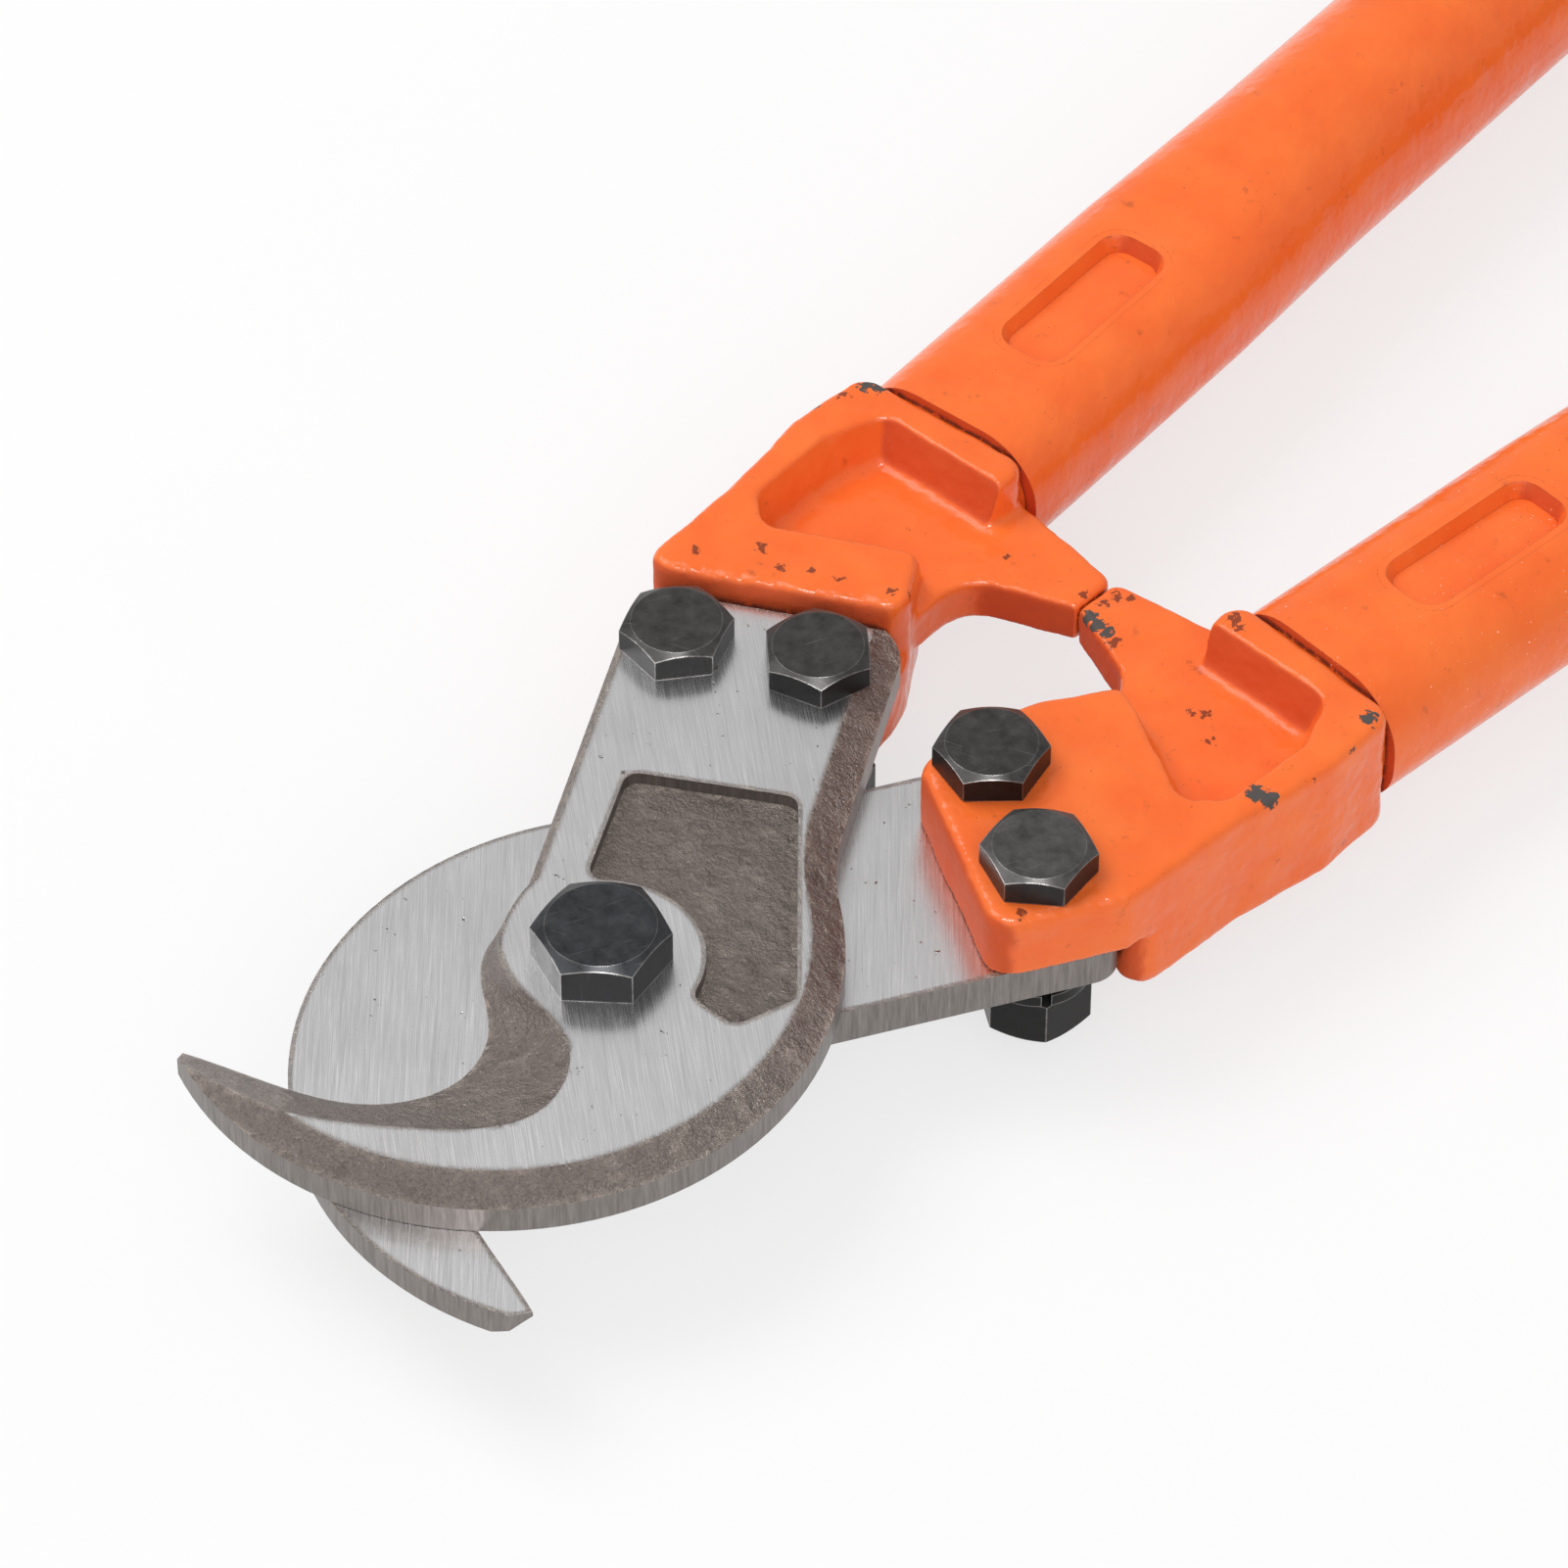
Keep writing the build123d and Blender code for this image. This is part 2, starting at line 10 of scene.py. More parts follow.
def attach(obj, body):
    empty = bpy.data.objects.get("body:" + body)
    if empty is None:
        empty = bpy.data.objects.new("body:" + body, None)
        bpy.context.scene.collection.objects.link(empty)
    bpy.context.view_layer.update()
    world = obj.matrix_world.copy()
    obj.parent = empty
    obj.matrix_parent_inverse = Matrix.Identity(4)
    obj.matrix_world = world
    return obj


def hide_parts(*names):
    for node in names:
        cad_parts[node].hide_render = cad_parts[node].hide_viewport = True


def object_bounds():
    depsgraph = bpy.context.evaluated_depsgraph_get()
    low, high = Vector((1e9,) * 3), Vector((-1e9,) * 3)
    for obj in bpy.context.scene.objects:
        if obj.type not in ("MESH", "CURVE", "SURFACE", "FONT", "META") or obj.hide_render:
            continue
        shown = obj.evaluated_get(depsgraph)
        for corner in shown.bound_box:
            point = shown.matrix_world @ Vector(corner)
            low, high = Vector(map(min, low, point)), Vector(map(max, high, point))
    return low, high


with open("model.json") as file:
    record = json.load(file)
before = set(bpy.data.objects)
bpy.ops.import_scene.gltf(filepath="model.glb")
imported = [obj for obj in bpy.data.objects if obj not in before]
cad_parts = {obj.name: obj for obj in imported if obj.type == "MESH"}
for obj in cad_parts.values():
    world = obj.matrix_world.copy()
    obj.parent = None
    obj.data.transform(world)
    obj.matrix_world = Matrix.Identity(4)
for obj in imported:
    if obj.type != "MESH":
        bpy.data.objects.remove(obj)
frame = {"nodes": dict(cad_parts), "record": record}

MM = 0.001
CAD_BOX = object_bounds()
PIVOT = Vector(frame["record"]["behaviour"]["joints"][0]["pos_m"])

# ---- camera: the photograph's viewing angle ------------------------------------------------
IMAGE = 1601  # the photograph is square, in pixels
AZIMUTH = 43.2  # degrees, from behind the jaws towards the handles
ELEVATION = 46.0
DISTANCE = 1.300
LENS_PIXELS = 8658.0  # focal length in pixels of the photograph
SENSOR = 36.0
PIVOT_PIXEL = (615.0, 1013.0)  # where the pivot's axis meets the shear plane in the photograph


def make_camera():
    azimuth, elevation = radians(AZIMUTH), radians(ELEVATION)
    back = Vector((sin(azimuth) * cos(elevation), -cos(azimuth) * cos(elevation), sin(elevation)))
    right = Vector((cos(azimuth), sin(azimuth), 0))
    up = back.cross(right)
    per_pixel = DISTANCE / LENS_PIXELS
    across = (IMAGE / 2 - PIVOT_PIXEL[0]) * per_pixel
    raised = (PIVOT_PIXEL[1] - IMAGE / 2) * per_pixel
    camera = bpy.data.objects.new("camera", bpy.data.cameras.new("camera"))
    camera.data.sensor_width = SENSOR
    camera.data.lens = LENS_PIXELS / IMAGE * SENSOR
    camera.data.clip_end = 20
    place = PIVOT + back * DISTANCE + right * across + up * raised
    turn = Matrix((right, up, back)).transposed()
    camera.matrix_world = Matrix.Translation(place) @ turn.to_4x4()
    bpy.context.scene.collection.objects.link(camera)
    bpy.context.scene.camera = camera


# ---- node helpers --------------------------------------------------------------------------
OBJECT_NORMAL, OBJECT_PLACE = 1, 3  # outputs of the texture coordinate node
BEVEL_SAMPLES = 6


class Nodes:
    """One material's nodes. A value given to an input is a number, a colour or a socket."""

    def __init__(self, name):
        self.material = bpy.data.materials.new(name)
        self.material.use_nodes = True
        self.tree = self.material.node_tree
        self.tree.nodes.clear()
        self.output = self.tree.nodes.new("ShaderNodeOutputMaterial")

    def add(self, kind, out=0, settings=None, **inputs):
        node = self.tree.nodes.new("ShaderNode" + kind)
        for key, value in (settings or {}).items():
            setattr(node, key, value)
        for key, value in inputs.items():
            self.set(node, key, value)
        return node.outputs[out]

    def set(self, node, key, value):
        """Fill the input of that name, such as base_color, or of that number, such as i0."""
        if key[0] == "i" and key[1:].isdigit():
            socket = node.inputs[int(key[1:])]
        else:
            enabled = [each for each in node.inputs if each.enabled]
            names = {each.name.replace(" ", "_").lower(): each for each in enabled}
            socket = names[key]
        if isinstance(value, bpy.types.NodeSocket):
            self.tree.links.new(value, socket)
        else:
            socket.default_value = value

    def maths(self, operation, a, b=0.0, clamp=False):
        settings = {"operation": operation, "use_clamp": clamp}
        return self.add("Math", settings=settings, i0=a, i1=b)

    def place(self, scale=(1, 1, 1), turn=0.0, shift=(0, 0, 0)):
        """Object coordinates in millimetres, turned about Z, moved and scaled."""
        coordinates = self.add("TexCoord", out=OBJECT_PLACE)
        turned = self.add(
            "Mapping", vector=coordinates, rotation=(0, 0, radians(turn)), location=shift
        )
        return self.add("Mapping", vector=turned, scale=tuple(value / MM for value in scale))

    def noise(self, vector, scale, detail=2.0, roughness=0.5):
        return self.add("TexNoise", vector=vector, scale=scale, detail=detail, roughness=roughness)

    def ramp(self, value, *stops):
        """A grey or coloured ramp through (place, colour) stops."""
        node = self.tree.nodes.new("ShaderNodeValToRGB")
        elements = node.color_ramp.elements
        while len(elements) < len(stops):
            elements.new(0.5)
        for element, (place, colour) in zip(elements, stops):
            element.position = place
            element.color = colour if isinstance(colour, tuple) else (colour, colour, colour, 1)
        self.tree.links.new(value, node.inputs[0])
        return node.outputs[0]

    def mix(self, share, a, b):
        return self.add("Mix", out=2, settings={"data_type": "RGBA"}, i0=share, i6=a, i7=b)

    def blend(self, share, a, b):
        return self.add("Mix", out=0, settings={"data_type": "FLOAT"}, i0=share, i2=a, i3=b)

    def split(self, vector):
        """The X, Y and Z of a vector."""
        node = self.tree.nodes.new("ShaderNodeSeparateXYZ")
        self.tree.links.new(vector, node.inputs[0])
        return node.outputs

    def step(self, value, low, high):
        """0 below the low value, 1 above the high one, and smooth between them."""
        settings = {"interpolation_type": "SMOOTHSTEP"}
        return self.add("MapRange", settings=settings, i0=value, i1=low, i2=high)

    def times(self, *values):
        product = values[0]
        for value in values[1:]:
            product = self.maths("MULTIPLY", product, value)
        return product

    def most(self, *values):
        largest = values[0]
        for value in values[1:]:
            largest = self.maths("MAXIMUM", largest, value)
        return largest

    def spot(self, place, centre, radius, ragged):
        """1 within a ragged spot of a radius around a place of the model, in millimetres."""
        settings = {"operation": "DISTANCE"}
        away = self.add("VectorMath", out=1, settings=settings, i0=place, i1=centre)
        return self.step(self.maths("ADD", away, ragged), radius, radius * 0.85)

    def bump(self, height, distance):
        return self.add("Bump", height=height, distance=distance)

    def facing(self):
        """The X, Y and Z of the surface's normal in the object's own frame."""
        return self.split(self.add("TexCoord", out=OBJECT_NORMAL))

    def edges(self, radius):
        """1 on sharp corners and edges, falling to 0 within about the radius, in metres."""
        rounded = self.add("Bevel", settings={"samples": BEVEL_SAMPLES}, radius=radius)
        normal = self.add("NewGeometry", out=1)
        settings = {"operation": "DOT_PRODUCT"}
        dot = self.add("VectorMath", out=1, settings=settings, i0=rounded, i1=normal)
        return self.maths("SUBTRACT", 1.0, dot, clamp=True)

    def finish(self, **inputs):
        shader = self.add("BsdfPrincipled", **inputs)
        self.tree.links.new(shader, self.output.inputs["Surface"])
        return self.material


def grey(value):
    return (value, value, value, 1.0)


# ---- finishes ------------------------------------------------------------------------------
SHEAR = PIVOT.z / MM  # height of the plane where the blades shear, in millimetres
RIM = SHEAR + 12.0  # height of the castings' rims
WEB = SHEAR + 4.0  # height of the webs between them
CHIPS = {  # where the paint is knocked off: X, Y, Z and radius in millimetres
    "right": (
        (2.6, 108.9, WEB, 1.5), (5.0, 108.5, WEB, 1.4), (7.2, 108.0, WEB, 1.3),
        (9.2, 107.3, WEB, 1.2), (2.2, 113.0, WEB, 0.7), (2.7, 115.4, WEB, 0.9),
        (4.6, 116.4, WEB, 0.7), (52.6, 91.6, RIM, 1.9), (54.6, 91.9, RIM, 1.8),
        (56.4, 91.2, RIM, 1.5), (57.2, 89.0, RIM, 1.0), (57.0, 86.6, RIM, 0.8),
        (57.6, 98.6, RIM, 1.1), (57.8, 100.9, RIM, 1.2), (58.2, 103.6, RIM, 0.9),
        (57.9, 109.4, RIM, 1.3), (54.6, 116.0, RIM, 1.3), (24.9, 118.4, RIM, 1.1),
        (26.4, 117.2, RIM, 0.9), (35.1, 101.1, WEB, 0.6), (28.8, 104.3, WEB, 0.8),
        (30.2, 105.1, WEB, 0.8), (43.0, 47.6, RIM, 0.9), (57.4, 118.6, RIM - 4, 1.1),
    ),
    "left": (
        (-54.3, 117.6, RIM, 1.5), (-52.2, 118.8, RIM, 1.4), (-55.6, 113.4, RIM, 1.0),
        (-57.0, 108.6, RIM, 0.9), (-40.7, 78.6, RIM, 0.8), (-40.7, 112.8, RIM, 0.6),
        (-16.4, 87.6, RIM, 0.9), (-18.6, 85.6, RIM, 0.7), (-31.0, 80.4, RIM, 0.6),
        (-26.8, 82.0, RIM, 0.5), (-35.5, 77.4, RIM, 0.6), (-48.0, 71.0, RIM, 0.6),
        (-16.1, 110.4, WEB, 0.4), (-1.2, 112.0, WEB, 0.7),
    ),
}
FULL_CHIP = 1.3  # a chip of this radius goes down to the iron, and a smaller one is a stain

PAINT = ((0.90, 0.145, 0.025, 1), (0.94, 0.182, 0.034, 1))  # its tone wanders between these
SMUDGE = (0.36, 0.07, 0.02, 1)
THIN_PAINT = (0.42, 0.045, 0.012, 1)  # drawn off the sharp corners
FRONT_SHADE_PAINT = (0.50, 0.045, 0.010, 1)  # painted shade on what faces the jaws
# stains, and grime with painted shade in crevices
STAIN_AND_SHADE = (0.12, 0.024, 0.014, 1)
BARE = (0.075, 0.064, 0.058, 1.0)  # cast iron under the paint
DUST = (1.0, 0.75, 0.6, 1)


def orange_paint(name, chips, specks=0.0):
    """Gloss paint over a cast or drawn surface, chipped at given places and along the edges, with
    grime and painted shade in its crevices and painted shade on faces towards the jaws.
    """
    nodes = Nodes(name)
    place = nodes.place()
    lumps = nodes.noise(place, 0.10, 3, 0.5)
    peel = nodes.noise(place, 0.55, 3, 0.5)

    tone = nodes.ramp(lumps, (0.3, PAINT[0]), (0.7, PAINT[1]))
    smudge = nodes.step(nodes.noise(nodes.place(shift=(1, 0, 0)), 0.22, 4, 0.7), 0.60, 0.72)
    tone = nodes.mix(nodes.times(smudge, nodes.ramp(peel, (0.4, 0.0), (0.6, 0.5))), tone, SMUDGE)
    corner = nodes.step(nodes.edges(0.35 * MM), 0.01, 0.06)
    tone = nodes.mix(nodes.times(corner, 0.45), tone, THIN_PAINT)
    # painted shade: faces that point towards the jaws are darkened, and their paint is made
    # rougher
    forward = nodes.maths("MULTIPLY", nodes.facing()[1], -1.0)
    dull = nodes.step(forward, 0.55, 0.85)
    tone = nodes.mix(nodes.times(dull, 0.65), tone, FRONT_SHADE_PAINT)

    ragged = nodes.maths("SUBTRACT", nodes.noise(place, 0.9, 4, 0.6), 0.5)
    ragged = nodes.maths("MULTIPLY", ragged, 5.0)
    deep, shallow = [], []
    for *centre, radius in chips:
        spot = nodes.spot(place, centre, radius, ragged)
        (deep if radius >= FULL_CHIP else shallow).append(spot)
    # grime and painted shade: darker where ambient occlusion finds a crevice, broken up by noise
    crevice_shade = nodes.step(nodes.add("AmbientOcclusion", out=1, distance=1.6 * MM), 0.55, 0.25)
    grime_and_shade = nodes.times(crevice_shade, nodes.step(nodes.noise(place, 0.9, 4, 0.7), 0.38, 0.5))
    pits = nodes.step(nodes.noise(place, 1.9, 2, 0.4), 0.775, 0.79)
    stain_and_shade = nodes.times(nodes.most(grime_and_shade, pits, *shallow), 0.8)
    edge = nodes.step(nodes.edges(0.8 * MM), 0.05, 0.16)
    worn = nodes.times(edge, nodes.step(nodes.noise(place, 0.30, 5, 0.7), 0.62, 0.66))
    bare = nodes.most(worn, *deep)
    colour = nodes.mix(bare, nodes.mix(stain_and_shade, tone, STAIN_AND_SHADE), BARE)
    if specks:
        dust = nodes.step(nodes.noise(place, 2.4, 1, 0.3), 0.775, 0.79)
        colour = nodes.mix(nodes.times(dust, specks), colour, DUST)

    height = nodes.maths("ADD", nodes.times(lumps, 1.6), nodes.times(peel, 0.30))
    height = nodes.maths("SUBTRACT", height, nodes.times(bare, 0.12))
    gloss = nodes.ramp(peel, (0.3, 0.13), (0.7, 0.23))
    return nodes.finish(
        base_color=colour,
        roughness=nodes.blend(nodes.most(bare, dull), gloss, 0.65),
        specular_ior_level=0.3,
        normal=nodes.bump(height, 0.5 * MM),
    )


POCKET_LOW = (4.5, 4.6)  # millimetres from the shear plane: the pocket's floor lies between these
POCKET_HIGH = (7.2, 7.1)
FACE_EDGE = (7.9, 7.8)  # just under the ground face
FORGED = ((0.12, 0.095, 0.085, 1), (0.27, 0.23, 0.208, 1))  # scale, dark and light
FORGED_LIGHT = (0.36, 0.31, 0.27, 1)
FORGED_DARK = (0.085, 0.065, 0.057, 1)
# burnished edges, partly a painted highlight
BURNISH_AND_HIGHLIGHT = (0.46, 0.40, 0.345, 1)
MACHINED = ((0.19, 0.17, 0.158, 1), (0.29, 0.265, 0.25, 1))
GROUND_LIGHT = (0.775, 0.76, 0.77, 1)
GROUND_WARM = (0.60, 0.585, 0.575, 1)
GROUND_PIT = (0.12, 0.10, 0.09, 1)


def blade_steel(name, grind):
    """Forged blade: ground flat faces, machined upright sides, and the rest as it was forged."""
    nodes = Nodes(name)
    place = nodes.place()
    upright = nodes.maths("ABSOLUTE", nodes.facing()[2])
    level = nodes.maths("ABSOLUTE", nodes.maths("SUBTRACT", nodes.split(place)[2], SHEAR))
    sunk = nodes.times(nodes.step(level, *POCKET_LOW), nodes.step(level, *POCKET_HIGH))
    ragged = nodes.noise(place, 0.5, 4, 0.7)
    rim = nodes.maths("ADD", nodes.edges(1.6 * MM), nodes.times(ragged, 0.07))
    rim = nodes.step(rim, 0.048, 0.054)
    flat = nodes.step(upright, 0.985, 0.995)
    ground = nodes.times(
        flat, nodes.maths("SUBTRACT", 1.0, sunk), nodes.maths("SUBTRACT", 1.0, rim)
    )
    side = nodes.times(nodes.step(upright, 0.25, 0.15), nodes.step(level, *FACE_EDGE))

    streaks = nodes.noise(nodes.place(scale=(7.0, 0.10, 0.10), turn=grind), 1.0, 5, 0.65)
    lines = nodes.noise(nodes.place(scale=(2.2, 0.03, 0.03), turn=grind + 1.5), 1.0, 3, 0.5)
    clouds = nodes.step(nodes.noise(place, 0.05, 3, 0.5), 0.45, 0.65)
    pits = nodes.noise(nodes.place(scale=(1.0, 0.6, 1.0), turn=grind), 0.62, 3, 0.6)
    pits = nodes.step(pits, 0.735, 0.76)
    brushed = nodes.mix(nodes.ramp(streaks, (0.35, 0), (0.65, 1)), grey(0.69), GROUND_LIGHT)
    brushed = nodes.mix(nodes.step(lines, 0.58, 0.70), brushed, grey(0.64))
    brushed = nodes.mix(nodes.times(clouds, 0.3), brushed, GROUND_WARM)
    brushed = nodes.mix(nodes.times(pits, 0.85), brushed, GROUND_PIT)

    scale = nodes.noise(place, 2.1, 6, 0.8)
    patches = nodes.noise(place, 0.22, 5, 0.65)
    forged = nodes.mix(nodes.ramp(scale, (0.35, 0), (0.65, 1)), *FORGED)
    forged = nodes.mix(nodes.times(nodes.step(patches, 0.52, 0.70), 0.4), forged, FORGED_LIGHT)
    forged = nodes.mix(nodes.times(nodes.step(patches, 0.44, 0.32), 0.4), forged, FORGED_DARK)
    # burnished edges and a painted highlight: lighter along the edges, broken up by noise
    burnish_and_highlight = nodes.step(nodes.edges(2.4 * MM), 0.008, 0.04)
    burnish_and_highlight = nodes.times(burnish_and_highlight, nodes.step(ragged, 0.40, 0.62))
    forged = nodes.mix(nodes.times(burnish_and_highlight, 0.55), forged, BURNISH_AND_HIGHLIGHT)

    teeth = nodes.noise(nodes.place(scale=(1.6, 1.6, 0.12)), 1.0, 4, 0.7)
    machined = nodes.mix(nodes.ramp(teeth, (0.35, 0), (0.65, 1)), *MACHINED)

    rough_forged = nodes.ramp(scale, (0.35, 0.48), (0.65, 0.22))
    rough_ground = nodes.ramp(streaks, (0.3, 0.18), (0.7, 0.32))
    forged_height = nodes.maths("ADD", nodes.times(scale, 0.9), nodes.times(patches, 4.0))
    forged_height = nodes.maths("ADD", forged_height, nodes.times(ragged, 2.0))
    height = nodes.blend(side, forged_height, nodes.times(teeth, 0.25))
    height = nodes.blend(ground, height, nodes.times(streaks, 0.035))
    height = nodes.maths("SUBTRACT", height, nodes.times(ground, pits, 0.1))
    return nodes.finish(
        base_color=nodes.mix(ground, nodes.mix(side, forged, machined), brushed),
        metallic=nodes.blend(ground, 0.85, 1.0),
        roughness=nodes.blend(ground, nodes.blend(side, rough_forged, 0.42), rough_ground),
        normal=nodes.bump(height, 0.35 * MM),
    )


OXIDE_SHARES = (0.15, 0.65, 1.4)  # of its level: painted shade on upright sides, and dark and light on the rest
OXIDE_TINT = (1.0, 0.95, 0.92)
WORN_STEEL = (0.34, 0.33, 0.32, 1)
SCRATCH = (3.5, 0.10, 0.10)  # stretches a noise into fine lines


def black_oxide(name, level, tint=OXIDE_TINT):
    """Blackened steel: worn bright on its edges, with fine scratches and stains on top, and
    painted shade on its upright sides.
    """
    black, dark, light = (
        tuple(level * share * value for value in tint) + (1.0,) for share in OXIDE_SHARES
    )
    nodes = Nodes(name)
    place = nodes.place()
    stains = nodes.noise(place, 0.35, 5, 0.65)
    grain = nodes.noise(place, 3.0, 3, 0.6)
    scratches = nodes.most(
        nodes.step(nodes.noise(nodes.place(scale=SCRATCH, turn=24), 1.0, 2, 0.4), 0.70, 0.74),
        nodes.step(nodes.noise(nodes.place(scale=SCRATCH, turn=71), 1.0, 2, 0.4), 0.71, 0.75),
    )
    edge = nodes.step(nodes.edges(0.35 * MM), 0.008, 0.06)
    worn = nodes.times(edge, nodes.ramp(stains, (0.35, 0.35), (0.6, 1)))
    tone = nodes.mix(nodes.ramp(stains, (0.3, 0), (0.7, 1)), dark, light)
    tone = nodes.mix(nodes.times(scratches, 0.35), tone, grey(0.20))
    # painted shade: the upright sides are darkened towards near black
    side = nodes.step(nodes.maths("ABSOLUTE", nodes.facing()[2]), 0.5, 0.2)
    tone = nodes.mix(nodes.times(side, 0.8), tone, black)
    height = nodes.maths("ADD", nodes.times(grain, 0.3), nodes.times(stains, 0.5))
    dull = nodes.ramp(stains, (0.3, 0.26), (0.7, 0.40))
    return nodes.finish(
        base_color=nodes.mix(worn, tone, WORN_STEEL),
        metallic=nodes.blend(worn, 0.35, 0.95),
        roughness=nodes.blend(worn, dull, 0.28),
        specular_ior_level=0.2,
        normal=nodes.bump(height, 0.03 * MM),
    )


def plain(name, colour, roughness, metallic=0.0):
    """A small part's finish: one colour and roughness with a fine grain in both."""
    nodes = Nodes(name)
    grain = nodes.noise(nodes.place(), 2.0, 3, 0.6)
    dark = tuple(value * 0.85 for value in colour[:3]) + (1,)
    return nodes.finish(
        base_color=nodes.mix(grain, dark, colour),
        metallic=metallic,
        roughness=nodes.ramp(grain, (0.3, roughness * 0.9), (0.7, roughness * 1.1)),
        normal=nodes.bump(grain, 0.02 * MM),
    )


def grip_rubber(name):
    """Moulded black rubber with a fine pebbled surface, dusty and rubbed grey on its edges."""
    nodes = Nodes(name)
    place = nodes.place()
    settings = {"feature": "SMOOTH_F1"}
    pebbles = nodes.add("TexVoronoi", settings=settings, vector=place, scale=0.9, smoothness=0.6)
    dust = nodes.noise(place, 0.06, 5, 0.7)
    grain = nodes.noise(place, 1.6, 4, 0.7)
    tone = nodes.mix(nodes.ramp(dust, (0.35, 0), (0.7, 1)), grey(0.016), grey(0.036))
    rubbed = nodes.times(nodes.step(nodes.edges(1.5 * MM), 0.02, 0.15), grain)
    tone = nodes.mix(rubbed, tone, grey(0.09))
    return nodes.finish(
        base_color=tone,
        roughness=nodes.ramp(dust, (0.3, 0.45), (0.7, 0.68)),
        specular_ior_level=0.4,
        normal=nodes.bump(nodes.maths("ADD", pebbles, nodes.times(grain, 0.3)), 0.12 * MM),
    )


UPPER_GRIND = 128.6  # degrees: turn of the grinding marks' coordinates on each blade
LOWER_GRIND = 137.0
FINISHES = {  # nodes with a finish of their own
    "upper_blade": blade_steel("upper_blade_steel", UPPER_GRIND),
    "lower_blade": blade_steel("lower_blade_steel", LOWER_GRIND),
    "left_casting": orange_paint("left_casting_paint", CHIPS["left"]),
    "right_casting": orange_paint("right_casting_paint", CHIPS["right"]),
    "left_tube": orange_paint("left_tube_paint", ()),
    "right_tube": orange_paint("right_tube_paint", (), specks=0.8),
    "pivot_bolt": black_oxide("pivot_oxide", 0.038, (0.94, 0.97, 1.06)),
    "right_outer_bolt": black_oxide("worn_oxide", 0.072),
}
SLOTS = {  # the finish of each material slot, for the other nodes
    "black_oxide": black_oxide("black_oxide", 0.049),
    "washer_steel": plain("washer_steel", (0.6, 0.6, 0.6, 1), 0.35, 1.0),
    "nylon": plain("nylon", (0.7, 0.75, 0.8, 1), 0.5),
    "grip_rubber": grip_rubber("grip_rubber"),
}


def dress():
    """Give every node its finish in place of the frame's plain one."""
    for part in frame["record"]["subparts"]:
        node = frame["nodes"][part["node"]]
        node.data.materials.clear()
        node.data.materials.append(FINISHES.get(part["node"]) or SLOTS[part["material_slot"]])


# ---- castings: their edges are soft and their faces slightly lumpy --------------------------
CAST_VOXEL = 0.55 * MM
CAST_SMOOTHING = 6  # passes
CAST_LUMPS = (  # name, size across, height and the level that stays in place
    ("lumps", 7.0 * MM, 0.55 * MM, 0.62),
    ("peel", 2.2 * MM, 0.14 * MM, 0.5),
)


def soften(node):
    """Modifiers alone: the node's own mesh stays as it is."""
    remesh = node.modifiers.new("remesh", "REMESH")
    remesh.mode = "VOXEL"
    remesh.voxel_size = CAST_VOXEL
    remesh.use_smooth_shade = True
    smooth = node.modifiers.new("smooth", "SMOOTH")
    smooth.iterations = CAST_SMOOTHING
    for name, size, height, level in CAST_LUMPS:
        clouds = bpy.data.textures.new(name, "CLOUDS")
        clouds.noise_scale = size
        relief = node.modifiers.new(name, "DISPLACE")
        relief.texture = clouds
        relief.texture_coords = "LOCAL"
        relief.strength = height
        relief.mid_level = level


# ---- handle tubes: the mouths of the pressed dimples lie level with the tube ----------------
BODIES = {"left": "upper", "right": "lower"}  # the blade that each side's handle turns with
TUBE_LEVEL = 12.5 * MM  # the pressed end's flats, from the middle of the tube
PRESSED_END = 57.0 * MM
SPLAY = {"left": -4.5, "right": 4.5}  # degrees between a handle and Y
DIMPLE_CORE = (12.5 * MM, 2.0 * MM)  # half the dimple's floor without its rounded corners
DIMPLE_LEAN = tan(radians(35.0))
DIMPLE_FLOOR = 10.9 * MM  # from the middle of the tube
DIMPLE_DEEPER = (0.5 * MM, 1.3 * MM)  # sunk further at its near and far end
WELD = 0.02 * MM  # points nearer than this are one, and levels this close are the same
SHARP_ANGLE = radians(24.0)


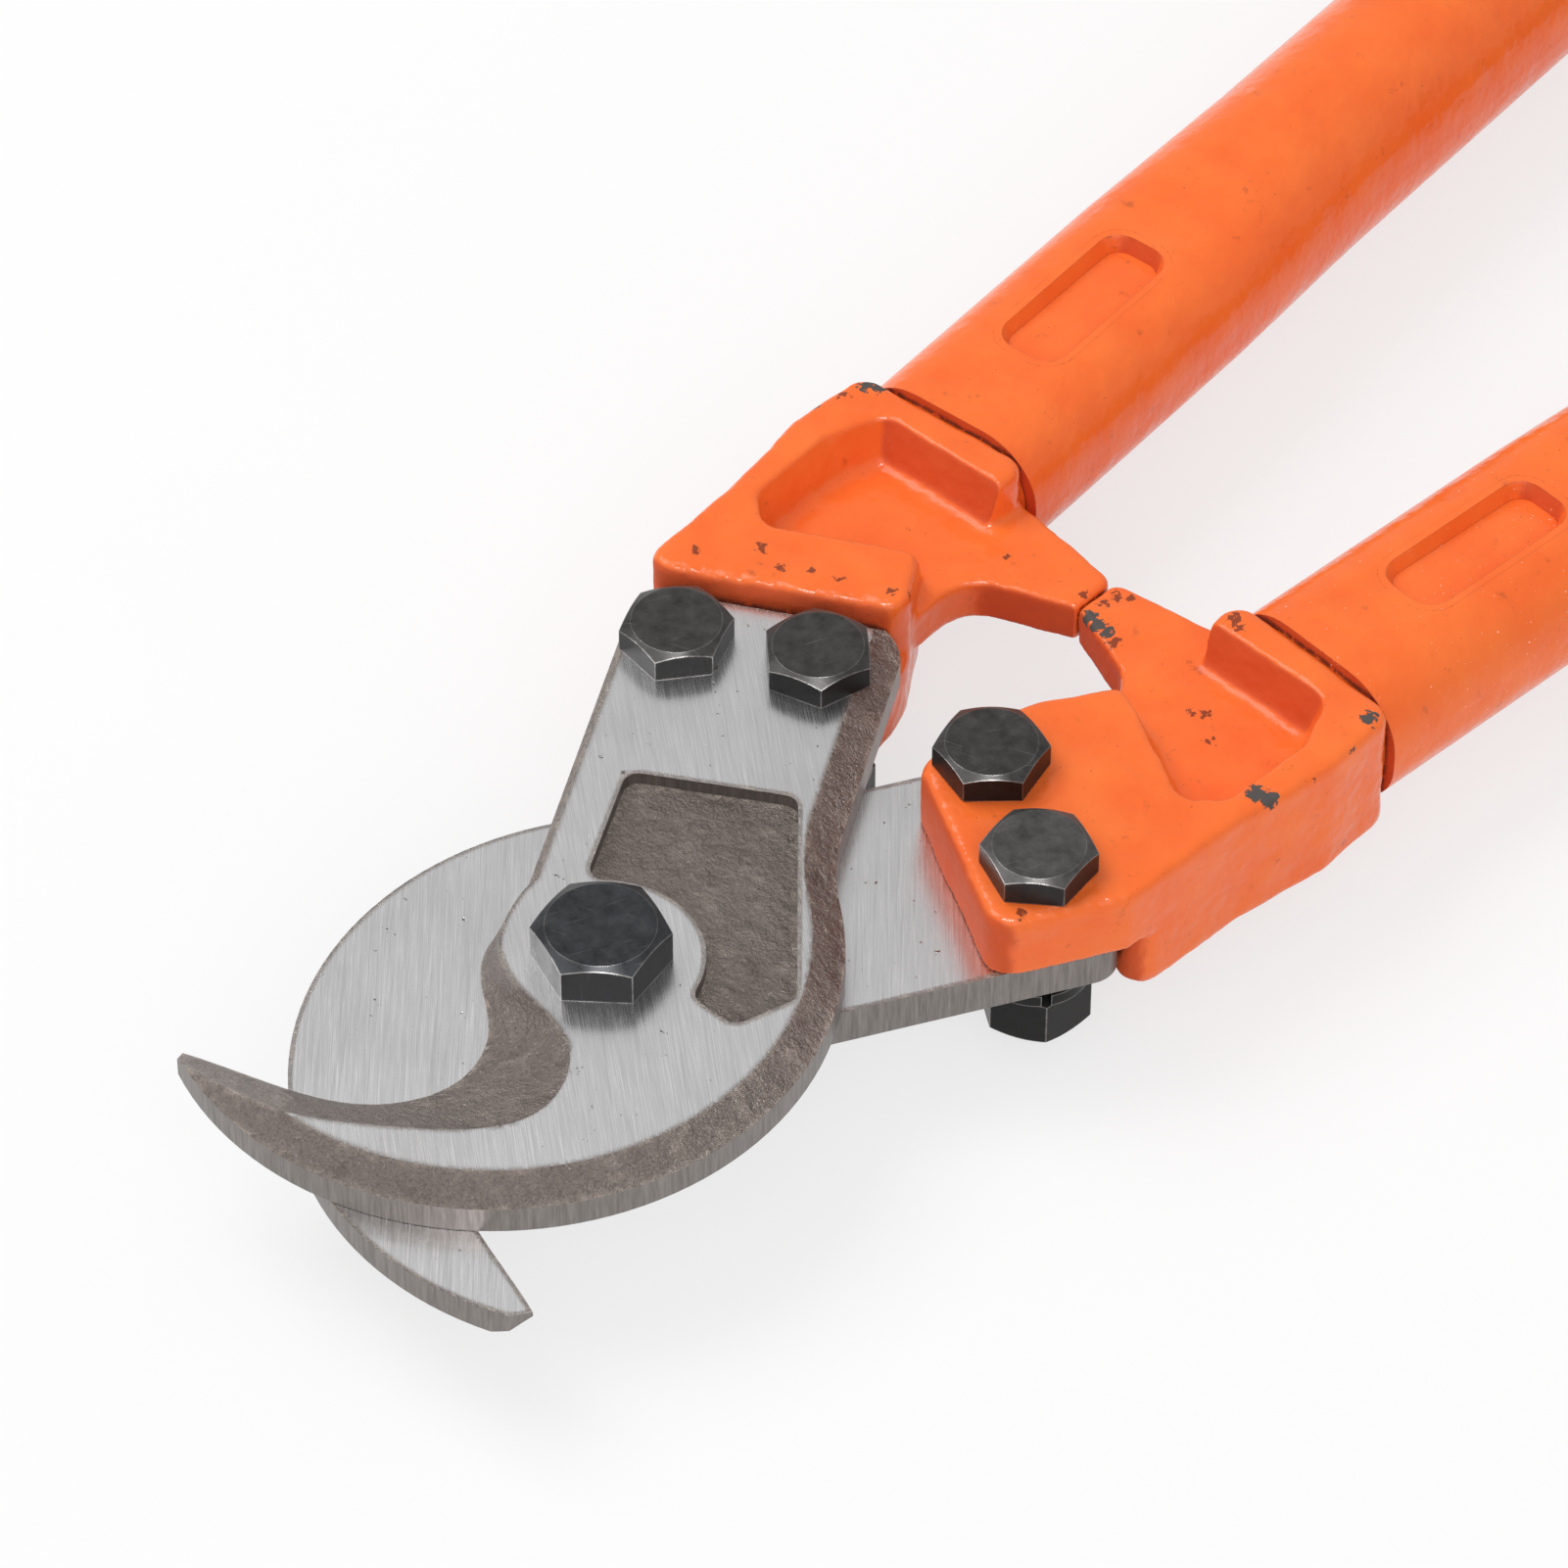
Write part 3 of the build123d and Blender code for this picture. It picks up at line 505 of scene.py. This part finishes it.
def press_tube(side):
    """The CAD tube's own surface, with what stands proud round its dimples drawn back."""
    node = frame["nodes"][f"{side}_tube"]
    shape = bmesh.new()
    shape.from_mesh(node.data)
    shape.transform(node.matrix_world)
    bmesh.ops.remove_doubles(shape, verts=shape.verts, dist=WELD / 10)
    splay = radians(SPLAY[side])
    axis = Vector((sin(splay), cos(splay), 0))
    across = Vector((cos(splay), -sin(splay), 0))
    end = min(vert.co.dot(axis) for vert in shape.verts) + PRESSED_END
    proud = [
        vert
        for vert in shape.verts
        if abs(vert.co.z - PIVOT.z) > TUBE_LEVEL + WELD and vert.co.dot(axis) < end
    ]
    spans = [[vert.co.dot(way) for vert in proud] for way in (axis, across)]
    middle = [(min(span) + max(span)) / 2 for span in spans]
    near, far = min(spans[0]), max(spans[0])
    for vert in proud:  # down the dimple's leaning walls to the tube's level
        rise = abs(vert.co.z - PIVOT.z) - TUBE_LEVEL
        out = Vector((vert.co.dot(axis) - middle[0], vert.co.dot(across) - middle[1]))
        core = [max(-half, min(half, value)) for half, value in zip(DIMPLE_CORE, out)]
        back = (out - Vector(core)).normalized() * rise * DIMPLE_LEAN
        level = PIVOT.z + copysign(TUBE_LEVEL, vert.co.z - PIVOT.z)
        vert.co -= axis * back.x + across * back.y
        vert.co.z = level
    for vert in shape.verts:  # the dimple's floor
        height = vert.co.z - PIVOT.z
        if abs(abs(height) - DIMPLE_FLOOR) < WELD and vert.co.dot(axis) < end:
            share = (vert.co.dot(axis) - near) / (far - near)
            sunk = DIMPLE_DEEPER[0] + (DIMPLE_DEEPER[1] - DIMPLE_DEEPER[0]) * share
            vert.co.z -= copysign(sunk, height)
    bmesh.ops.remove_doubles(shape, verts=shape.verts, dist=WELD)
    bmesh.ops.dissolve_degenerate(shape, dist=WELD, edges=shape.edges)
    mesh = bpy.data.meshes.new(f"{side}_tube_pressed")
    shape.to_mesh(mesh)
    shape.free()
    if "custom_normal" in mesh.attributes:
        mesh.attributes.remove(mesh.attributes["custom_normal"])
    mesh.shade_smooth()
    mesh.set_sharp_from_angle(angle=SHARP_ANGLE)
    mesh.materials.clear()
    mesh.materials.append(FINISHES[f"{side}_tube"])
    piece = bpy.data.objects.new(f"{side}_tube_pressed", mesh)
    bpy.context.scene.collection.objects.link(piece)
    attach(piece, f"{BODIES[side]}_blade_half")
    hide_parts(f"{side}_tube")


# ---- floor and light -----------------------------------------------------------------------
FLOOR_SIZE = 12.0
FLOOR_GAP = 0.05 * MM
FLOOR_GLOW = 0.7  # how far what the camera, gloss and glass see of the floor is plain white
WORLD_LIGHT = 0.6
LAMPS = (  # name, place, size and power in watts, each aimed at the origin
    ("key", (-0.9, -0.2, 1.6), 1.1, 17.0),
    ("glint", (0.35, -0.35, 1.5), 0.5, 18.0),
    ("fill", (1.3, -1.0, 1.2), 1.5, 10.5),
)


def make_floor():
    mesh = bpy.data.meshes.new("floor")
    level = CAD_BOX[0][2] - FLOOR_GAP
    half = FLOOR_SIZE / 2
    plan = [(-half, -half), (half, -half), (half, half), (-half, half)]
    mesh.from_pydata([(x, y, level) for x, y in plan], [], [(0, 1, 2, 3)])
    floor = bpy.data.objects.new("floor", mesh)
    bpy.context.scene.collection.objects.link(floor)
    nodes = Nodes("floor")
    grain = nodes.noise(nodes.place(), 0.02, 2)
    pale = nodes.mix(grain, grey(0.86), grey(0.88))
    matte = nodes.add("BsdfDiffuse", color=pale, roughness=0.5)
    white = nodes.add("Emission", color=grey(1.0), strength=1.0)
    path = nodes.tree.nodes.new("ShaderNodeLightPath").outputs
    rays = ("Is Camera Ray", "Is Glossy Ray", "Is Transmission Ray")
    seen = nodes.most(*(path[ray] for ray in rays))
    shown = nodes.add("MixShader", i0=nodes.times(seen, FLOOR_GLOW), i1=matte, i2=white)
    nodes.tree.links.new(shown, nodes.output.inputs["Surface"])
    floor.data.materials.append(nodes.material)


def make_light():
    world = bpy.data.worlds.new("world")
    bpy.context.scene.world = world
    world.use_nodes = True
    background = world.node_tree.nodes["Background"]
    background.inputs["Color"].default_value = grey(1.0)
    background.inputs["Strength"].default_value = WORLD_LIGHT
    for name, place, size, power in LAMPS:
        lamp = bpy.data.lights.new(name, "AREA")
        lamp.size = size
        lamp.energy = power
        holder = bpy.data.objects.new(name, lamp)
        holder.location = place
        holder.rotation_euler = Vector(place).to_track_quat("Z", "Y").to_euler()
        holder.visible_diffuse = name != "glint"  # only seen in what shines
        bpy.context.scene.collection.objects.link(holder)


for side in BODIES:
    soften(frame["nodes"][f"{side}_casting"])
for side in BODIES:
    press_tube(side)
dress()
make_camera()
make_floor()
make_light()
bpy.context.scene.view_settings.view_transform = "Standard"
